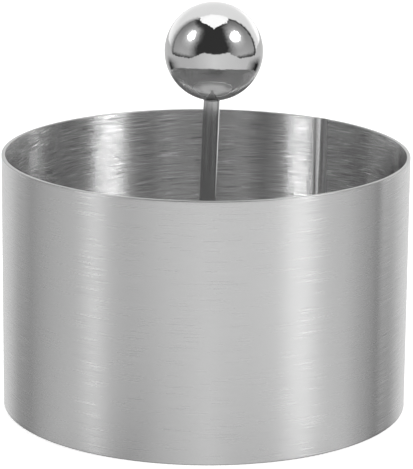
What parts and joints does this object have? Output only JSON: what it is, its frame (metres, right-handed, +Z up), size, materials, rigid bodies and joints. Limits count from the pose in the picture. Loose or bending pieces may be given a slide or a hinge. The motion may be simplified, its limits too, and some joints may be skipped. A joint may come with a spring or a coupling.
{
  "type": "rice ball mould",
  "caption": "Open round steel ring for shaping rice, with a loose press plate on a slim rod topped by a ball knob.",
  "frame": {"origin": "centre of the ring's foot, on the table", "axes": "+Z up along the ring's axis, -Y towards the viewer, +X to the viewer's right"},
  "size_m": [0.08, 0.08, 0.0804],
  "materials": {
    "ring_steel": "brushed round the ring, inside and out",
    "plate_steel": "satin",
    "rod_steel": "bright drawn",
    "ball_steel": "mirror polished",
    "weld_steel": "dressed weld metal"
  },
  "bodies": {
    "ring": {"mould_ring": "ring_steel", "seam_weld": "weld_steel"},
    "pusher": {"push_plate": "plate_steel", "rod_weld": "weld_steel", "push_rod": "rod_steel", "ball_knob": "ball_steel"}
  },
  "joints": [
    {"name": "pusher_lift", "type": "slide", "parent": "ring", "child": "pusher", "axis": [0, 0, 1], "range_m": [0, 0.06]}
  ]
}
